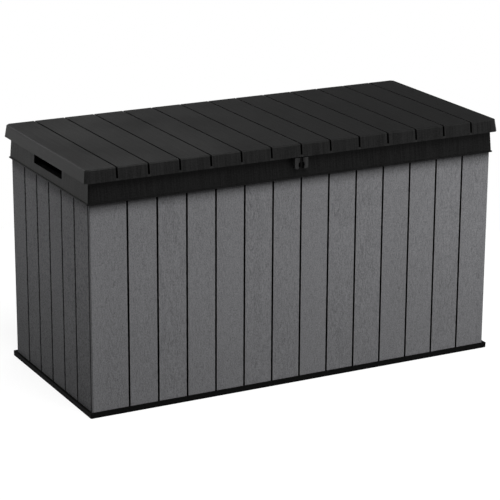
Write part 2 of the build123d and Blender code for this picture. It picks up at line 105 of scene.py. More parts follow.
def mix(tree, share, first, second):
    """A colour that goes from first to second as share goes from 0 to 1."""
    node = tree.nodes.new("ShaderNodeMix")
    node.data_type = "RGBA"
    feed(tree, node.inputs["Factor"], share)
    colours = [socket for socket in node.inputs if socket.type == "RGBA"]
    feed(tree, colours[0], first)
    feed(tree, colours[1], second)
    return [socket for socket in node.outputs if socket.type == "RGBA"][0]


def grey(level, blue=0.0):
    """A nearly neutral colour: blue above zero leans to blue, and below zero to yellow."""
    return (level, level, level * (1.0 + blue), 1.0)


print("noise and colour helpers ready")

# %% [markdown]
# Effects that several finishes share become node groups. A group takes numbers, such as how far across
# and along a board a place lies, and gives back numbers that change over the surface.

# %% Helpers that make and place node groups
def new_group(name, inputs, outputs):
    """An empty group with named number sockets: its tree, what it is given and what it gives."""
    group = bpy.data.node_groups.new(name, "ShaderNodeTree")
    for label in inputs:
        group.interface.new_socket(label, in_out="INPUT", socket_type="NodeSocketFloat")
    for label in outputs:
        group.interface.new_socket(label, in_out="OUTPUT", socket_type="NodeSocketFloat")
    given = group.nodes.new("NodeGroupInput").outputs
    gives = group.nodes.new("NodeGroupOutput").inputs
    return group, given, gives


def place_group(tree, group, **values):
    """One use of a group in a tree, with its inputs fed by name."""
    node = tree.nodes.new("ShaderNodeGroup")
    node.node_tree = group
    for label, value in values.items():
        feed(tree, node.inputs[label], value)
    return node.outputs


print("group helpers ready")

# %% [markdown]
# ## Where the boards are
# Panels and lid are single mouldings that only look like boards: grooves are cut at an even pitch. The
# finish has to know which board a place is on, so that every board gets its own grain, and whether it
# is down in a groove, where it paints the shade that a deep narrow groove holds. Beside the groove it
# paints a strip of dirt and shade on to the face, as far as the finish says, and the rest of the groove's
# rim gets a painted highlight.

# %% Board layout group
groove_half_width = 0.0031
groove_edge_blur = 0.0004
face_skin = 0.0006
rim_width = 0.0035

board_layout, given, gives = new_group(
    "board_layout",
    ["across", "depth", "pitch", "shift", "last", "floor", "dirt"],
    ["board", "off_centre", "groove", "rim"],
)
tree = board_layout
steps = calc(tree, "DIVIDE", calc(tree, "SUBTRACT", given["across"], given["shift"]), given["pitch"])
first = calc(tree, "MULTIPLY", given["last"], -1.0)
nearest = calc(tree, "MINIMUM", calc(tree, "MAXIMUM", calc(tree, "ROUND", steps), first), given["last"])
distance = calc(tree, "ABSOLUTE", calc(tree, "SUBTRACT", steps, nearest))
distance = calc(tree, "MULTIPLY", distance, given["pitch"])
board = calc(tree, "MINIMUM", calc(tree, "FLOOR", steps), given["last"])
board = calc(tree, "MAXIMUM", board, calc(tree, "SUBTRACT", first, 1.0))
middle = calc(tree, "ADD", board, 0.5)
off_centre = calc(tree, "MULTIPLY", calc(tree, "SUBTRACT", steps, middle), given["pitch"])
# Painted shade down in the groove; beside it a strip of dirt and painted shade; past that a painted highlight
# on the rim.
within = fade(tree, distance, groove_half_width, groove_half_width + groove_edge_blur, 1.0, 0.0)
below = fade(tree, given["depth"], 0.0, face_skin)
past_floor = calc(tree, "SUBTRACT", given["depth"], given["floor"])
above_floor = fade(tree, past_floor, groove_edge_blur, 2 * face_skin, 1.0, 0.0)
groove = calc(tree, "MULTIPLY", within, calc(tree, "MULTIPLY", below, above_floor))
dirt_and_shade_edge = calc(tree, "ADD", given["dirt"], groove_half_width)
dirt_and_shade_strip = fade(tree, distance, groove_half_width, dirt_and_shade_edge, 0.9, 0.0)
on_face = calc(tree, "SUBTRACT", 1.0, below)
groove = calc(tree, "MAXIMUM", groove, calc(tree, "MULTIPLY", dirt_and_shade_strip, on_face))
beside = fade(tree, distance, dirt_and_shade_edge, groove_half_width + rim_width, 1.0, 0.0)
rim = calc(tree, "MULTIPLY", beside, on_face)
for label, value in (("board", board), ("off_centre", off_centre), ("groove", groove), ("rim", rim)):
    feed(tree, gives[label], value)
print("board_layout:", len(tree.nodes), "nodes")

# %% [markdown]
# ## Wood grain
# The grain on such panels is pressed in by the mould: fibres and long threads up the board, a hammered
# unevenness, fine pores, and on some boards the tall arches of a flat-sawn plank. An arch is a curve of equal
# "along minus bend times across squared", so a sine of that draws them all. Towards the edges of a board
# the arches run into fine upright lines. The board's number decides where they lie and how strong they
# are, and a slow noise leaves them out in patches. The number also sets the boards far apart in every
# noise, so that no two of them share their grain.

# %% Wood grain group
arch_bend = 190.0
arch_gap = 0.046
arch_lean = 0.05
boards_apart = 7.3
patches_apart = 5.1
grain_seed = 0.37

wood_grain, given, gives = new_group(
    "wood_grain", ["across", "along", "board", "off_centre"], ["tone", "relief"]
)
tree = wood_grain
chance = tree.nodes.new("ShaderNodeTexWhiteNoise")
chance.noise_dimensions = "1D"
feed(tree, chance.inputs["W"], calc(tree, "ADD", given["board"], grain_seed))
luck = tree.nodes.new("ShaderNodeSeparateColor")
feed(tree, luck.inputs["Color"], chance.outputs["Color"])
on_board = (given["across"], given["along"], given["board"])
fibre = cloud(tree, on_board, (450.0, 190.0, boards_apart), 4.0)
hammer = cloud(tree, on_board, (420.0, 330.0, boards_apart))
thread = cloud(tree, on_board, (240.0, 26.0, boards_apart))
blotch = cloud(tree, on_board, (105.0, 62.0, boards_apart))
pore = cloud(tree, on_board, (1150.0, 42.0, boards_apart))
drift = cloud(tree, on_board, (9.0, 3.5, boards_apart))
lean = calc(tree, "MULTIPLY", calc(tree, "SUBTRACT", luck.outputs["Red"], 0.5), arch_lean)
sideways = calc(tree, "ADD", given["off_centre"], lean)
bend = calc(tree, "MULTIPLY", sideways, sideways)
arch = weighted(tree, given["along"], (bend, -arch_bend), (drift, 0.3), (blotch, 0.02))
ring = fade(tree, calc(tree, "SINE", calc(tree, "MULTIPLY", arch, 2 * math.pi / arch_gap)), 0.35, 1.0)
strong = fade(tree, luck.outputs["Green"], 0.25, 0.9, 0.2, 1.0)
patchy = fade(tree, cloud(tree, on_board, (11.0, 4.0, patches_apart)), 0.4, 0.6, 0.15, 1.0)
central = fade(tree, calc(tree, "ABSOLUTE", sideways), 0.018, 0.042, 1.0, 0.25)
for share in (strong, patchy, central):
    ring = calc(tree, "MULTIPLY", ring, share)
pits = fade(tree, pore, 0.53, 0.68)
tone = weighted(
    tree,
    -1.595,
    (fibre, 2.6),
    (hammer, 1.2),
    (thread, 0.5),
    (blotch, 0.05),
    (drift, 0.08),
    (luck.outputs["Blue"], 0.06),
    (pits, -0.25),
    (ring, -0.35),
)
feed(tree, gives["tone"], tone)
feed(tree, gives["relief"], weighted(tree, 0.0, (fibre, 1.0), (hammer, 0.7), (pits, -0.5), (ring, -0.5)))
print("wood_grain:", len(tree.nodes), "nodes")

# %% [markdown]
# ## Brushed resin
# The black mouldings have no arches, only a fine drawn texture and the mottled, pebbled skin of the
# mould. One group serves lid, collar, base and hasp, and the drawn lines on metal. Each finish feeds it
# the direction that its own texture runs in.

# %% Brushed resin group
brushed_resin, given, gives = new_group(
    "brushed_resin", ["across", "along", "through"], ["tone", "relief"]
)
tree = brushed_resin
here = (given["across"], given["along"], given["through"])
brush = cloud(tree, here, (330.0, 14.0, 14.0), 4.0)
streak = fade(tree, cloud(tree, here, (200.0, 6.0, 6.0), 3.0), 0.34, 0.66)
mottle = fade(tree, cloud(tree, here, (230.0, 230.0, 230.0)), 0.36, 0.64)
pebble = cloud(tree, here, (900.0, 900.0, 900.0), 1.0)
feed(tree, gives["tone"], weighted(tree, -0.55, (brush, 0.9), (streak, 0.6), (mottle, 0.6)))
feed(tree, gives["relief"], weighted(tree, 0.0, (brush, 1.0), (pebble, 0.45)))
print("brushed_resin:", len(tree.nodes), "nodes")

# %% [markdown]
# ## Dust
# A box that stands outdoors has a pale film where dust can settle, in soft uneven patches with fine
# specks. The group gives how dusty a place is; each finish decides how pale that makes it.

# %% Dust group
dust, given, gives = new_group("dust", ["x", "y", "z"], ["film"])
tree = dust
here = (given["x"], given["y"], given["z"])
patch = cloud(tree, here, (5.0, 5.0, 5.0), 4.0)
speck = cloud(tree, here, (260.0, 260.0, 260.0))
film = calc(tree, "MULTIPLY", fade(tree, patch, 0.15, 0.85), fade(tree, speck, 0.36, 0.64, 0.3, 1.0))
feed(tree, gives["film"], film)
print("dust:", len(tree.nodes), "nodes")

# %% [markdown]
# ## Starting a finish
# Every finish begins alike: a Principled shader, the place on the object in metres, and a bump that
# presses a relief into the surface. The solids sit at the origin, so Object coordinates are simply
# positions on the box, and they ride along when the lid swings.

# %% Helpers for finishes
def new_finish(name, roughness, specular, metallic=0.0):
    """A material with its node tree and its shader."""
    material = bpy.data.materials.new(name)
    material.use_nodes = True
    tree = material.node_tree
    shader = tree.nodes["Principled BSDF"]
    shader.inputs["Roughness"].default_value = roughness
    shader.inputs["Specular IOR Level"].default_value = specular
    shader.inputs["Metallic"].default_value = metallic
    return material, tree, shader


def position(tree, turn=0.0):
    """The place on the object in metres, turned about the vertical, as x, y and z."""
    source = tree.nodes.new("ShaderNodeTexCoord").outputs["Object"]
    mapping = tree.nodes.new("ShaderNodeMapping")
    mapping.inputs["Rotation"].default_value = (0.0, 0.0, math.radians(turn))
    feed(tree, mapping.inputs["Vector"], source)
    split = tree.nodes.new("ShaderNodeSeparateXYZ")
    feed(tree, split.inputs[0], mapping.outputs[0])
    return split.outputs[0], split.outputs[1], split.outputs[2]


def press(tree, shader, relief, depth):
    """Press a relief of the given depth, in metres, into the shader's surface."""
    bump = tree.nodes.new("ShaderNodeBump")
    bump.inputs["Strength"].default_value = 1.0
    bump.inputs["Distance"].default_value = depth
    feed(tree, bump.inputs["Height"], relief)
    tree.links.new(bump.outputs["Normal"], shader.inputs["Normal"])


def dress(material, *names):
    """Give a finish to solids."""
    for name in names:
        mesh = nodes[name].data
        mesh.materials.clear()
        mesh.materials.append(material)
    print(material.name, "on", ", ".join(names))


print("finish helpers ready")

# %% [markdown]
# ## Grey board panels
# All four panels are one design: turned to face its own side, a panel always has "across" along X and
# "depth" along Y. So a single function makes the four finishes, each with its own turn about the
# vertical. Under the collar the panels get painted shade, where the overhang keeps light off, and they
# are painted darker towards the ground, as shade. The dirt and painted shade beside a groove has a ragged
# edge, because the grain runs out into it. The side panels end in a seam of painted shade behind the
# front and rear ones, and their grain is painted with more contrast, as low light from behind would bring
# it out. The inside is the back of the moulding, where only a trace of the grain shows.

# %% Grey board finish
collar_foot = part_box("front_rail")[0].z
board_pitch = 0.0987
board_dark = grey(0.101, 0.04)
board_light = grey(0.175, 0.04)
board_highlight_and_dust = grey(0.199, 0.03)
inside_dark = grey(0.100, 0.04)
inside_light = grey(0.128, 0.04)
# The grey of painted shade, also used for the dirt beside the grooves.
shade_and_dirt_grey = grey(0.004)
groove_floor = 0.008
outer_skin = 0.001
inner_start = 0.003
ragged_least = 0.6
ragged_most = 2.6
seam_start = 0.0025
seam_full = 0.001
shaded_band = 0.045
# Height up to which the panels are painted darker, as shade.
foot_shade_height = 0.52
grain_depth = 0.0008


def board_finish(name, turn, face, half_width, shift, last, dirt, foot_shade, contrast):
    """The finish of one panel: turn brings its face to the front, face is its distance from the middle."""
    material, tree, shader = new_finish(name, 0.62, 0.03)
    x, y, z = position(tree, turn)
    depth = calc(tree, "ADD", y, face)
    notches = cloud(tree, (x, z, turn), (140.0, 75.0, 1.0))
    ragged = fade(tree, notches, 0.45, 0.72, ragged_least, ragged_most)
    layout = place_group(
        tree,
        board_layout,
        across=x,
        depth=depth,
        pitch=board_pitch,
        shift=shift,
        last=last,
        floor=groove_floor,
        dirt=calc(tree, "MULTIPLY", ragged, dirt),
    )
    grain = place_group(
        tree,
        wood_grain,
        across=x,
        along=z,
        board=calc(tree, "ADD", layout["board"], turn),
        off_centre=layout["off_centre"],
    )
    film = place_group(tree, dust, x=x, y=y, z=z)["film"]
    tone = weighted(tree, 0.5 - 0.5 * contrast, (grain["tone"], contrast))
    outside = fade(tree, depth, outer_skin, inner_start, 1.0, 0.0)
    # Painted shade under the collar, where the overhang keeps light off.
    collar_shade = fade(tree, z, collar_foot - shaded_band, collar_foot, 0.0, 0.6)
    # Painted shade, darker towards the ground.
    foot_shaded = fade(tree, z, 0.0, foot_shade_height, foot_shade, 0.0)
    # Painted shade in the recess where a side panel ends behind the next one.
    seam_shade = fade(tree, calc(tree, "ABSOLUTE", x), half_width - seam_start, half_width - seam_full)
    colour = mix(tree, tone, board_dark, board_light)
    # Painted highlight on the rims of the grooves; the same colour is used for dust below.
    colour = mix(tree, calc(tree, "MULTIPLY", layout["rim"], 0.35), colour, board_highlight_and_dust)
    colour = mix(tree, calc(tree, "MAXIMUM", collar_shade, foot_shaded), colour, shade_and_dirt_grey)
    colour = mix(tree, seam_shade, colour, shade_and_dirt_grey)
    colour = mix(tree, outside, mix(tree, grain["tone"], inside_dark, inside_light), colour)
    colour = mix(tree, calc(tree, "MULTIPLY", film, 0.08), colour, board_highlight_and_dust)
    colour = mix(tree, layout["groove"], colour, shade_and_dirt_grey)
    feed(tree, shader.inputs["Base Color"], colour)
    feed(tree, shader.inputs["Roughness"], fade(tree, tone, 0.0, 1.0, 0.72, 0.54))
    pressed = fade(tree, outside, 0.0, 1.0, 0.1, 1.0)
    press(tree, shader, calc(tree, "MULTIPLY", grain["relief"], pressed), grain_depth)
    return material


print("board grey from", board_dark[0], "to", board_light[0])

# %% Dress the four panels
# Front and rear panels have no seam, so theirs is set just past their edges.
past_edge = 0.003
front_low, front_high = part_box("front_wall")
side_low, side_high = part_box("left_wall")
front_boards = {
    "face": -front_low.y,
    "half_width": front_high.x + past_edge,
    "shift": 0.009,
    "last": 6.0,
    "dirt": 0.0006,
    "foot_shade": 0.19,
    "contrast": 1.0,
}
side_boards = {
    "face": -side_low.x,
    "half_width": side_high.y,
    "shift": 0.0,
    "last": 2.0,
    "dirt": 0.0028,
    "foot_shade": 0.46,
    # More grain contrast, painted where low light from behind would bring the grain out.
    "contrast": 2.5,
}
dress(board_finish("boards_front", 0.0, **front_boards), "front_wall")
dress(board_finish("boards_rear", 180.0, **front_boards), "rear_wall")
dress(board_finish("boards_left", 90.0, **side_boards), "left_wall")
dress(board_finish("boards_right", -90.0, **side_boards), "right_wall")

# %% [markdown]
# ## The lid
# The lid is black resin with a drawn texture that runs along its boards and turns down over the front
# edge. Adding Y and Z gives one coordinate that does both. The two ends are drawn the long way, and a
# place belongs to an end where it is further out than the flat top. A groove is measured from the top
# or from the leaning skirt, whichever is nearer, and stops above the skirt's foot. Inside it the finish
# paints shade: it turns to a metal without any colour, which has no sheen, so the groove reads black.
# The rims beside the grooves get a faint painted highlight. Rain evens the texture out on top. Dust lies
# there only, and is made paler to the left as a painted sheen. Every board takes its texture from
# another place in the noise.

# %% Lid finish
lid_low, lid_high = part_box("lid_panel")
lid_black = grey(0.0015)
lid_worn = grey(0.011)
lid_rained = grey(0.006)
dust_and_highlight_grey = grey(0.046, -0.02)
lid_board_count = 14
lid_pitch = (lid_high.x - lid_low.x) / lid_board_count
lid_groove_floor = 0.006
skirt_lean = 0.136
skirt_groove_rise = 0.0065
groove_foot_blur = 0.001
end_lean = 0.0052
texture_shift = 0.013
texture_layer = 2.7
draw_depth = 0.00012
top_roll = 0.006
rain_share = 0.6
# Dust on top, made paler to the left as a painted sheen.
sheen_reach = 0.2
left_dust_and_sheen = 0.43
right_dust_and_sheen = 0.036


def lid_finish():
    """Black drawn resin with dusty boards on top, a painted sheen paler to the left, painted shade in the
    grooves and a painted highlight on their rims.
    """
    material, tree, shader = new_finish("lid_resin", 0.58, 0.13)
    x, y, z = position(tree)
    down = calc(tree, "SUBTRACT", lid_high.z, z)
    skirt_out = weighted(tree, lid_high.y - skirt_lean * (lid_high.z - lid_low.z), (down, skirt_lean))
    from_skirt = calc(tree, "SUBTRACT", skirt_out, calc(tree, "ABSOLUTE", y))
    layout = place_group(
        tree,
        board_layout,
        across=x,
        depth=calc(tree, "MINIMUM", down, from_skirt),
        pitch=lid_pitch,
        shift=0.0,
        last=6.0,
        floor=lid_groove_floor,
        dirt=0.0005,
    )
    end_face = lid_high.x - end_lean
    at_end = fade(tree, calc(tree, "ABSOLUTE", x), end_face - face_skin, end_face + face_skin)
    along_board = place_group(
        tree,
        brushed_resin,
        across=weighted(tree, x, (layout["board"], texture_shift)),
        along=calc(tree, "ADD", y, z),
        through=calc(tree, "MULTIPLY", layout["board"], texture_layer),
    )
    along_end = place_group(tree, brushed_resin, across=z, along=y, through=x)
    change = calc(tree, "SUBTRACT", along_end["tone"], along_board["tone"])
    tone = calc(tree, "MULTIPLY_ADD", change, at_end, along_board["tone"])
    film = place_group(tree, dust, x=x, y=y, z=z)["film"]
    on_top = fade(tree, down, 0.0, top_roll, 1.0, 0.0)
    # Dust on top, made paler to the left as a painted sheen.
    dust_and_sheen_spread = fade(tree, x, lid_low.x - sheen_reach, lid_high.x - sheen_reach, left_dust_and_sheen, right_dust_and_sheen)
    dust_and_sheen = calc(tree, "MULTIPLY", film, calc(tree, "MULTIPLY", on_top, dust_and_sheen_spread))
    colour = mix(tree, tone, lid_black, lid_worn)
    colour = mix(tree, calc(tree, "MULTIPLY", on_top, rain_share), colour, lid_rained)
    colour = mix(tree, dust_and_sheen, colour, dust_and_highlight_grey)
    # Painted highlight on the rims beside the grooves.
    colour = mix(tree, calc(tree, "MULTIPLY", layout["rim"], 0.1), colour, dust_and_highlight_grey)
    groove_foot = lid_low.z + skirt_groove_rise
    above_foot = fade(tree, z, groove_foot - groove_foot_blur, groove_foot + groove_foot_blur)
    groove = calc(tree, "MULTIPLY", layout["groove"], above_foot)
    # Painted shade in the grooves: black, and metallic so that it has no sheen.
    colour = mix(tree, groove, colour, grey(0.0005))
    feed(tree, shader.inputs["Base Color"], colour)
    feed(tree, shader.inputs["Metallic"], groove)
    feed(tree, shader.inputs["Roughness"], fade(tree, tone, 0.1, 0.9, 0.55, 0.63))
    pressed = fade(tree, on_top, 0.0, 1.0, 1.0, 0.5)
    press(tree, shader, calc(tree, "MULTIPLY", along_board["relief"], pressed), draw_depth)
    return material


dress(lid_finish(), "lid_panel")

# %% [markdown]
# ## Collar, base and hasp
# These are the same black resin with the texture drawn upwards. Along the collar's four sides either X
# or Y stands still, so their sum runs across every one of them. The base and the hasp's tongue are the
# darkest, as painted shade, because they stand in shadow, and the hasp is a smoother, slightly greyer
# moulding with painted shade in its lock window and towards the middle of its lugs.

# %% Black resin finishes
def resin_finish(name, dark, light, roughness, specular):
    """Black resin drawn upwards, between two levels of grey."""
    material, tree, shader = new_finish(name, roughness, specular)
    x, y, z = position(tree)
    grain = place_group(tree, brushed_resin, across=calc(tree, "ADD", x, y), along=z, through=0.0)
    film = place_group(tree, dust, x=x, y=y, z=z)["film"]
    colour = mix(tree, grain["tone"], grey(dark), grey(light))
    colour = mix(tree, calc(tree, "MULTIPLY", film, 0.04), colour, dust_and_highlight_grey)
    feed(tree, shader.inputs["Base Color"], colour)
    uneven = fade(tree, grain["tone"], 0.0, 1.0, roughness - 0.08, roughness + 0.08)
    feed(tree, shader.inputs["Roughness"], uneven)
    press(tree, shader, grain["relief"], draw_depth)
    return material


end_rails = [
    f"{side}_{piece}"
    for side in ("left", "right")
    for piece in ("rail_front", "rail_rear", "grip_sill", "grip_bar")
]
dress(resin_finish("collar_resin", 0.0001, 0.008, 0.56, 0.08), "front_rail", "rear_rail", *end_rails)
# The base and the tongue get the darkest resin as painted shade.
dress(resin_finish("base_resin", 0.001, 0.004, 0.75, 0.03), "base_tray", "lid_tongue")

# %% Hasp finish
window_half_width = 0.0112
window_edge = 0.0013
window_start = 0.0008
window_full = 0.003
lug_start = 0.008
lug_full = 0.016


def hasp_finish():
    """Grey-black resin with painted shade down in the lock window behind its front face and towards the
    middle of its lugs.
    """
    material = resin_finish("hasp_resin", 0.012, 0.024, 0.55, 0.15)
    tree = material.node_tree
    shader = tree.nodes["Principled BSDF"]
    colour = shader.inputs["Base Color"].links[0].from_socket
    x, y, z = position(tree)
    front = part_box("hasp_block")[0].y
    behind = fade(tree, y, front + window_start, front + window_full)
    off_middle = calc(tree, "ABSOLUTE", x)
    # Painted shade in the lock window behind the front face.
    between = fade(tree, off_middle, window_half_width, window_half_width + window_edge, 1.0, 0.0)
    hollow = calc(tree, "MULTIPLY", behind, between)
    # Painted shade towards the middle of the lugs, as on rounded cheeks.
    shaded = fade(tree, off_middle, lug_start, lug_full, 0.7, 0.0)
    colour = mix(tree, shaded, colour, grey(0.003))
    feed(tree, shader.inputs["Base Color"], mix(tree, hollow, colour, grey(0.0005)))
    return material


dress(hasp_finish(), "hasp_block")

# %% [markdown]
# ## Metal fittings
# Pins, brackets and bars are zinc plated: a pale metal with flat crystals, each catching light in its
# own way, and faint drawn lines. Hinges and strut tubes are powder coated, which leaves a skin like
# orange peel. The rods are polished and hard chromed.

# %% Zinc finish
crystals_to_a_metre = 190.0
line_depth = 0.00003


def zinc_finish():
    """Zinc plate: crystals of slightly different brightness and gloss."""
    material, tree, shader = new_finish("zinc_steel", 0.36, 0.5, 1.0)
    x, y, z = position(tree)
    crystals = tree.nodes.new("ShaderNodeTexVoronoi")
    crystals.inputs["Scale"].default_value = crystals_to_a_metre
    feed(tree, crystals.inputs["Vector"], tree.nodes["Mapping"].outputs[0])
    facet = tree.nodes.new("ShaderNodeSeparateColor")
    feed(tree, facet.inputs["Color"], crystals.outputs["Color"])
    drawn = place_group(tree, brushed_resin, across=z, along=x, through=y)
    shine = weighted(tree, 0.0, (facet.outputs["Red"], 0.5), (drawn["tone"], 0.5))
    film = place_group(tree, dust, x=x, y=y, z=z)["film"]
    colour = mix(tree, shine, grey(0.42, 0.04), grey(0.62, 0.03))
    colour = mix(tree, calc(tree, "MULTIPLY", film, 0.3), colour, grey(0.3, -0.08))
    feed(tree, shader.inputs["Base Color"], colour)
    feed(tree, shader.inputs["Roughness"], fade(tree, shine, 0.1, 0.9, 0.46, 0.28))
    press(tree, shader, drawn["relief"], line_depth)
    return material


sides = ("left", "right")
numbers = (1, 2, 3)
zinc = zinc_finish()
dress(
    zinc,
    "lid_bar_front",
    "lid_bar_rear",
    *[f"hinge_pin_{number}" for number in numbers],
    *[f"strut_{end}_bracket_{side}" for side in sides for end in ("wall", "lid")],
)

# %% Powder coat and chrome finishes
peel_depth = 0.00008
mark_depth = 0.000008


def powder_finish():
    """Black powder coat with an orange-peel skin."""
    material, tree, shader = new_finish("black_steel", 0.42, 0.4)
    place = position(tree)
    peel = cloud(tree, place, (700.0, 700.0, 700.0))
    film = place_group(tree, dust, x=place[0], y=place[1], z=place[2])["film"]
    colour = mix(tree, calc(tree, "MULTIPLY", film, 0.5), grey(0.009), grey(0.04, -0.05))
    feed(tree, shader.inputs["Base Color"], colour)
    feed(tree, shader.inputs["Roughness"], fade(tree, film, 0.0, 1.0, 0.36, 0.55))
    press(tree, shader, peel, peel_depth)
    return material


def chrome_finish():
    """Polished rod with fine marks round it and a trace of oil."""
    material, tree, shader = new_finish("bright_rod", 0.12, 0.5, 1.0)
    x, y, z = position(tree)
    marks = place_group(tree, brushed_resin, across=z, along=x, through=y)
    film = place_group(tree, dust, x=x, y=y, z=z)["film"]
    feed(tree, shader.inputs["Base Color"], mix(tree, film, grey(0.72, 0.03), grey(0.6, -0.04)))
    feed(tree, shader.inputs["Roughness"], fade(tree, marks["tone"], 0.2, 0.9, 0.08, 0.22))
    press(tree, shader, marks["relief"], mark_depth)
    return material


dress(
    powder_finish(),
    *[f"{leaf}_hinge_{number}" for leaf in ("rail", "lid") for number in numbers],
    *[f"strut_cylinder_{side}" for side in sides],
)
dress(chrome_finish(), *[f"strut_rod_{side}" for side in sides])

# %% [markdown]
# ## One screw
# Every fitting is held by pan-head screws with a cross recess. The head is a short profile spun round:
# a flat seat, an upright rim and a low dome. The recess is a cross with sloping walls, cut out of the
# dome, so it is a real hollow that catches a shadow. One good screw is enough, since it is repeated.

# %% Helpers for small shapes
def close_up(shape, name):
    """Turn a finished shape into an object whose faces all look outwards."""
    bmesh.ops.recalc_face_normals(shape, faces=shape.faces)
    mesh = bpy.data.meshes.new(name)
    shape.to_mesh(mesh)
    shape.free()
    piece = bpy.data.objects.new(name, mesh)
    bpy.context.scene.collection.objects.link(piece)
    return piece


def join_rings(shape, rings):
    """Skin a stack of rings of points and close both ends."""
    count = len(rings[0])
    for lower, upper in zip(rings, rings[1:]):
        for corner in range(count):
            following = (corner + 1) % count
            shape.faces.new((lower[corner], lower[following], upper[following], upper[corner]))
    shape.faces.new(rings[-1])
    shape.faces.new(list(reversed(rings[0])))


def settled(piece):
    """A plain mesh of a piece with its modifiers worked in."""
    view = bpy.context.evaluated_depsgraph_get()
    return bpy.data.meshes.new_from_object(piece.evaluated_get(view))


print("shape helpers ready")

# %% Build one screw
head_radius = 0.0042
head_height = 0.0026
rim_height = 0.0009
dome_steps = 6
recess_half_length = 0.0024
recess_half_width = 0.0006
recess_depth = 0.0016
recess_foot_share = 0.45
arm_top_share = 1.15
arm_top = 1.3 * head_height
head_segments = 28


def spun_head():
    """A pan head, its seat at the origin and its dome towards +Z."""
    shape = bmesh.new()
    profile = [(head_radius, 0.0), (head_radius, rim_height)]
    for step in range(1, dome_steps):
        angle = math.radians(90 * step / dome_steps)
        level = rim_height + (head_height - rim_height) * math.sin(angle)
        profile.append((head_radius * math.cos(angle), level))
    rings = []
    for radius, level in profile:
        turns = [2 * math.pi * corner / head_segments for corner in range(head_segments)]
        points = [(radius * math.cos(turn), radius * math.sin(turn), level) for turn in turns]
        rings.append([shape.verts.new(point) for point in points])
    join_rings(shape, rings)
    return close_up(shape, "screw_head")


def recess_arm(half_x, half_y):
    """One arm of the cross: a bar that narrows towards its foot, standing in the top of the head."""
    shape = bmesh.new()
    rings = []
    for level, share in ((head_height - recess_depth, recess_foot_share), (arm_top, arm_top_share)):
        corners = [(-half_x, -half_y), (half_x, -half_y), (half_x, half_y), (-half_x, half_y)]
        rings.append([shape.verts.new((x * share, y * share, level)) for x, y in corners])
    join_rings(shape, rings)
    return close_up(shape, "recess_arm")


screw = spun_head()
arms = [
    recess_arm(recess_half_length, recess_half_width),
    recess_arm(recess_half_width, recess_half_length),
]
for arm in arms:
    cut = screw.modifiers.new("recess", "BOOLEAN")
    cut.operation = "DIFFERENCE"
    cut.solver = "EXACT"
    cut.object = arm
screw_mesh = settled(screw)
for scrap in [screw] + arms:
    bpy.data.objects.remove(scrap)
screw_pattern = bpy.data.objects.new("screw_pattern", screw_mesh)
print("screw:", len(screw_mesh.polygons), "faces")

# %% [markdown]
# ## Putting the screws in
# A fitting needs its screws at a few places, each facing its own way. A small mesh of loose points
# carries the places and a direction at every point, and a Geometry Nodes tree does the rest: it turns
# a copy of the screw to that direction, spins it by a seeded chance, because no two recesses line up,
# and joins the copies to one mesh.

# %% Screw tree
def screw_tree():
    """Points with a facing attribute in, seated screws out."""
    group = bpy.data.node_groups.new("seat_screws", "GeometryNodeTree")
    for label, kind in (
        ("Geometry", "NodeSocketGeometry"),
        ("Screw", "NodeSocketObject"),
        ("Size", "NodeSocketFloat"),
        ("Seed", "NodeSocketInt"),
        ("Finish", "NodeSocketMaterial"),
    ):
        group.interface.new_socket(label, in_out="INPUT", socket_type=kind)
    group.interface.new_socket("Geometry", in_out="OUTPUT", socket_type="NodeSocketGeometry")
    add = group.nodes.new
    join = group.links.new
    given = add("NodeGroupInput").outputs
    gives = add("NodeGroupOutput").inputs
    pattern = add("GeometryNodeObjectInfo")
    join(given["Screw"], pattern.inputs["Object"])
    facing = add("GeometryNodeInputNamedAttribute")
    facing.data_type = "FLOAT_VECTOR"
    facing.inputs["Name"].default_value = "facing"
    turn = add("FunctionNodeAlignRotationToVector")
    turn.axis = "Z"
    join(facing.outputs["Attribute"], turn.inputs["Vector"])
    chance = add("FunctionNodeRandomValue")
    chance.data_type = "FLOAT"
    chance.inputs[3].default_value = 2 * math.pi
    join(given["Seed"], chance.inputs["Seed"])
    spin = add("FunctionNodeAxisAngleToRotation")
    spin.inputs["Axis"].default_value = (0.0, 0.0, 1.0)
    join(chance.outputs[1], spin.inputs["Angle"])
    both = add("FunctionNodeRotateRotation")
    both.rotation_space = "LOCAL"
    join(turn.outputs["Rotation"], both.inputs["Rotation"])
    join(spin.outputs["Rotation"], both.inputs["Rotate By"])
    seats = add("GeometryNodeInstanceOnPoints")
    join(given["Geometry"], seats.inputs["Points"])
    join(pattern.outputs["Geometry"], seats.inputs["Instance"])
    join(both.outputs["Rotation"], seats.inputs["Rotation"])
    join(given["Size"], seats.inputs["Scale"])
    real = add("GeometryNodeRealizeInstances")
    join(seats.outputs["Instances"], real.inputs["Geometry"])
    coat = add("GeometryNodeSetMaterial")
    join(real.outputs["Geometry"], coat.inputs["Geometry"])
    join(given["Finish"], coat.inputs["Material"])
    join(coat.outputs["Geometry"], gives["Geometry"])
    return group


seat_screws = screw_tree()
sockets = {item.name: item.identifier for item in seat_screws.interface.items_tree if item.in_out == "INPUT"}
print("seat_screws inputs:", ", ".join(sockets))

# %% [markdown]
# Where the screws go follows from the fittings' own boxes. Rail hinges are screwed from behind and the
# struts' wall brackets from inside the box. What sits in the lid is screwed from below, or from inside
# the leaning skirt.

# %% Places of the screws
leaf_seat = 0.0042
leaf_screw_rise = 0.0095
leaf_screw_spread = 0.033
collar_lean = Vector((0.0, 73.0, 4.5)).normalized()
skirt = 0.004
skirt_screw_level = 0.760
skirt_leaf_half = 0.020
flange_half = 0.013
plate = 0.003
wall_plate_half = Vector((0.0, 0.0115, 0.0235))
lid_flange_half = 0.022
bar_ribs = (-4, 0, 4)

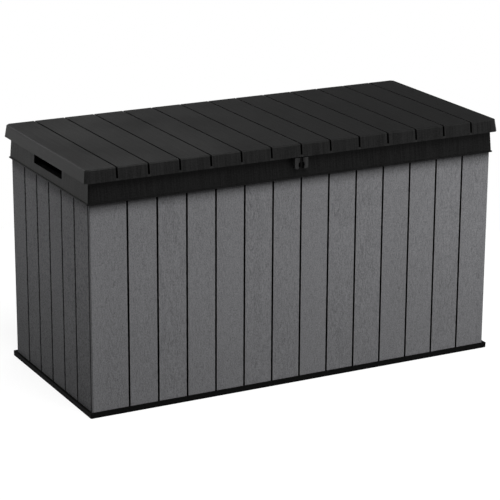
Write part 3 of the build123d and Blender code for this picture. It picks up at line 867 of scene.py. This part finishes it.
box_places = []
lid_places = []
skirt_inside = lid_high.y - skirt - skirt_lean * (skirt_screw_level - lid_low.z)
for number in numbers:
    low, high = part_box(f"rail_hinge_{number}")
    hinge_x = (low.x + high.x) / 2
    for step in (-1, 0, 1):
        place = Vector((hinge_x + step * leaf_screw_spread, low.y + leaf_seat, low.z + leaf_screw_rise))
        box_places.append((place, collar_lean))
    for step in (-1, 1):
        place = Vector((hinge_x + step * skirt_leaf_half, skirt_inside - plate, skirt_screw_level))
        lid_places.append((place, Vector((0.0, -1.0, -skirt_lean)).normalized()))
for step in (-1, 1):
    place = Vector((step * flange_half, plate - skirt_inside, skirt_screw_level))
    lid_places.append((place, Vector((0.0, 1.0, -skirt_lean)).normalized()))
for side, inward in (("left", 1.0), ("right", -1.0)):
    low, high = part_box(f"strut_wall_bracket_{side}")
    plate_face = low.x + plate if inward > 0 else high.x - plate
    for step_y in (-1, 1):
        for step_z in (-1, 1):
            place = (low + high) / 2 + wall_plate_half * Vector((0.0, step_y, step_z))
            place.x = plate_face
            box_places.append((place, Vector((inward, 0.0, 0.0))))
    low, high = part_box(f"strut_lid_bracket_{side}")
    for step in (-1, 1):
        place = (low + high) / 2 + Vector((plate * inward, step * lid_flange_half, 0.0))
        place.z = high.z - plate
        lid_places.append((place, Vector((0.0, 0.0, -1.0))))
for bar in ("lid_bar_front", "lid_bar_rear"):
    low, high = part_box(bar)
    for rib in bar_ribs:
        place = Vector((rib * lid_pitch, (low.y + high.y) / 2, low.z))
        lid_places.append((place, Vector((0.0, 0.0, -1.0))))
print(len(box_places), "places on the box,", len(lid_places), "on the lid")

# %% Seat the screws of each body
def seat(name, body, places, seed):
    """One mesh of screws at the given places; a place is a point and the direction that it faces."""
    mesh = bpy.data.meshes.new(name)
    mesh.from_pydata([place for place, facing in places], [], [])
    directions = mesh.attributes.new("facing", "FLOAT_VECTOR", "POINT")
    for entry, (place, facing) in zip(directions.data, places):
        entry.vector = facing
    piece = bpy.data.objects.new(name, mesh)
    bpy.context.scene.collection.objects.link(piece)
    modifier = piece.modifiers.new("screws", "NODES")
    modifier.node_group = seat_screws
    modifier[sockets["Screw"]] = screw_pattern
    modifier[sockets["Size"]] = 1.0
    modifier[sockets["Seed"]] = seed
    modifier[sockets["Finish"]] = zinc
    finished = settled(piece)
    piece.modifiers.clear()
    piece.data = finished
    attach(piece, body)
    print(f"{name}: {len(places)} screws, {len(finished.polygons)} faces, on {body}")


seat("box_screws", "box", box_places, 3)
seat("lid_screws", "lid", lid_places, 5)
bpy.data.objects.remove(screw_pattern)

# %% [markdown]
# ## Floor and surroundings
# The box stands on a round sheet of white paper. Seen by the camera, or mirrored in metal or glass, the
# paper and the backdrop round it are white; the part of the paper that still answers to light keeps the
# box's soft shadow. The backdrop ends a little above the ground and the studio's ceiling is dim, with one
# paler screen behind on the left. That is why the black lid looks dull from above while its upright end
# has a sheen.

# %% Floor
floor_radius = 1.7
floor_sides = 96
shadow_share = 0.14


def seen_directly(tree):
    """One where the camera, or a mirror or glass in its view, looks at this surface."""
    path = tree.nodes.new("ShaderNodeLightPath").outputs
    seen = calc(tree, "MAXIMUM", path["Is Camera Ray"], path["Is Glossy Ray"])
    return calc(tree, "MAXIMUM", seen, path["Is Transmission Ray"])


floor_mesh = bpy.data.meshes.new("floor")
turns = [2 * math.pi * corner / floor_sides for corner in range(floor_sides)]
floor_rim = [(floor_radius * math.cos(turn), floor_radius * math.sin(turn), 0.0) for turn in turns]
floor_mesh.from_pydata(floor_rim, [], [list(range(floor_sides))])
floor = bpy.data.objects.new("floor", floor_mesh)
bpy.context.scene.collection.objects.link(floor)
floor_paint = bpy.data.materials.new("white_paper")
floor_paint.use_nodes = True
tree = floor_paint.node_tree
tree.nodes.clear()
matt = tree.nodes.new("ShaderNodeBsdfDiffuse")
seen = seen_directly(tree)
feed(tree, matt.inputs["Color"], mix(tree, seen, grey(0.1), grey(0.9)))
white = tree.nodes.new("ShaderNodeEmission")
white.inputs["Strength"].default_value = 1.0
both = tree.nodes.new("ShaderNodeMixShader")
feed(tree, both.inputs["Fac"], calc(tree, "MULTIPLY", seen, 1.0 - shadow_share))
tree.links.new(matt.outputs[0], both.inputs[1])
tree.links.new(white.outputs[0], both.inputs[2])
surface = tree.nodes.new("ShaderNodeOutputMaterial")
tree.links.new(both.outputs[0], surface.inputs["Surface"])
floor_mesh.materials.append(floor_paint)
print("floor: white paper,", 2 * floor_radius, "m across")

# %% Backdrop and sky
sky_level = 0.24
ground_level = 0.05
ceiling_level = 0.0
screen_level = 1.0
screen_bearing = Vector((-0.45, 0.89, 0.0))
screen_start = 0.52
screen_full = 0.75
horizon_blur = 0.1
backdrop_fades = 0.02
backdrop_ends = 0.13

sky = bpy.data.worlds.new("pale_studio")
bpy.context.scene.world = sky
sky.use_nodes = True
tree = sky.node_tree
direction = tree.nodes.new("ShaderNodeSeparateXYZ")
feed(tree, direction.inputs[0], tree.nodes.new("ShaderNodeTexCoord").outputs["Generated"])
upward = direction.outputs[2]
lighting = fade(tree, upward, -horizon_blur, horizon_blur, ground_level, sky_level)
along_x = (direction.outputs[0], screen_bearing.x)
along_y = (direction.outputs[1], screen_bearing.y)
behind = weighted(tree, 0.0, along_x, along_y)
ceiling = fade(tree, behind, screen_start, screen_full, ceiling_level, screen_level)
mirrored = fade(tree, upward, backdrop_fades, backdrop_ends, 1.0, ceiling)
path = tree.nodes.new("ShaderNodeLightPath").outputs
in_mirror = calc(tree, "MAXIMUM", path["Is Glossy Ray"], path["Is Transmission Ray"])
change = calc(tree, "SUBTRACT", mirrored, lighting)
strength = calc(tree, "MULTIPLY_ADD", change, in_mirror, lighting)
glow = tree.nodes["Background"]
glow.inputs["Color"].default_value = (1.0, 1.0, 1.0, 1.0)
feed(tree, glow.inputs["Strength"], calc(tree, "MAXIMUM", strength, path["Is Camera Ray"]))
print("backdrop white, sky level", sky_level, "and ceiling from", ceiling_level, "to", screen_level)

# %% [markdown]
# ## Light
# A product picture like this has one broad light high in front, a softbox near the right end that makes
# the boards brighter towards it, and a low light behind that skims the left end. A sun lamp with a wide
# angle gives the same soft light everywhere; the softbox is a square lamp close by. Weak fills on the
# left and behind show those sides. They and the softbox are kept out of reflections, so that the lid
# stays dull.

# %% Helpers for lamps
def bearing(height, turn):
    """The direction from the box to a lamp: degrees up, and degrees to the right of the front."""
    up = math.radians(height)
    right = math.radians(turn)
    return Vector((math.sin(right) * math.cos(up), -math.cos(right) * math.cos(up), math.sin(up)))


def add_lamp(lamp, towards, place=(0.0, 0.0, 0.0)):
    """Put a lamp in the scene, shining from the given direction."""
    holder = bpy.data.objects.new(lamp.name, lamp)
    bpy.context.scene.collection.objects.link(holder)
    holder.location = place
    holder.rotation_euler = towards.to_track_quat("Z", "Y").to_euler()
    holder.visible_camera = False
    print(f"{lamp.name}: {lamp.type.lower()}, {round(math.degrees(math.asin(towards.z)))} degrees up")
    return holder


def soft_sun(name, level, towards, angle):
    """An even soft light: level 1 lights a white surface that faces it to white."""
    lamp = bpy.data.lights.new(name, "SUN")
    lamp.energy = level * math.pi
    lamp.angle = math.radians(angle)
    return add_lamp(lamp, towards)


def softbox(name, power, side, place, target):
    """A square lamp at a place, turned to a target."""
    lamp = bpy.data.lights.new(name, "AREA")
    lamp.energy = power
    lamp.size = side
    return add_lamp(lamp, (Vector(place) - Vector(target)).normalized(), place)


print("lamp helpers ready")

# %% Lamps
soft_sun("front_light", 1.16, bearing(58.0, 4.0), 35.0)
soft_sun("end_light", 0.23, bearing(12.0, -155.0), 40.0)
left_fill = soft_sun("left_fill", 0.09, bearing(20.0, -92.0), 60.0)
rear_fill = soft_sun("rear_fill", 0.4, bearing(35.0, 140.0), 60.0)
right_softbox = softbox("right_softbox", 29.5, 1.2, (1.9, -1.9, 1.2), (0.55, -0.31, 0.45))
for holder in (left_fill, rear_fill, right_softbox):
    holder.visible_glossy = False

# %% [markdown]
# ## Camera
# The picture was taken from in front and to the left of the box, a little above it and from far away
# with a long lens, so its edges run almost parallel, and with the camera a quarter of a degree out of
# level. It looks along one fixed direction from a fixed place; nothing is shifted.

# %% Camera
camera_place = Vector((-3.0754, -5.8597, 2.3970))
camera_height = 17.186
camera_turn = -27.640
camera_roll = 0.278
camera_lens = bpy.data.cameras.new("photo_lens")
camera_lens.lens = 152.68
camera_lens.sensor_width = 36.0
camera_lens.clip_end = 200.0
camera = bpy.data.objects.new("photo_camera", camera_lens)
bpy.context.scene.collection.objects.link(camera)
camera.location = camera_place
level_view = bearing(camera_height, camera_turn).to_track_quat("Z", "Y")
rolled_view = level_view @ Quaternion((0.0, 0.0, 1.0), math.radians(camera_roll))
camera.rotation_euler = rolled_view.to_euler()
bpy.context.scene.camera = camera
bpy.context.scene.view_settings.view_transform = "Standard"
print("camera", [round(value, 3) for value in camera_place])
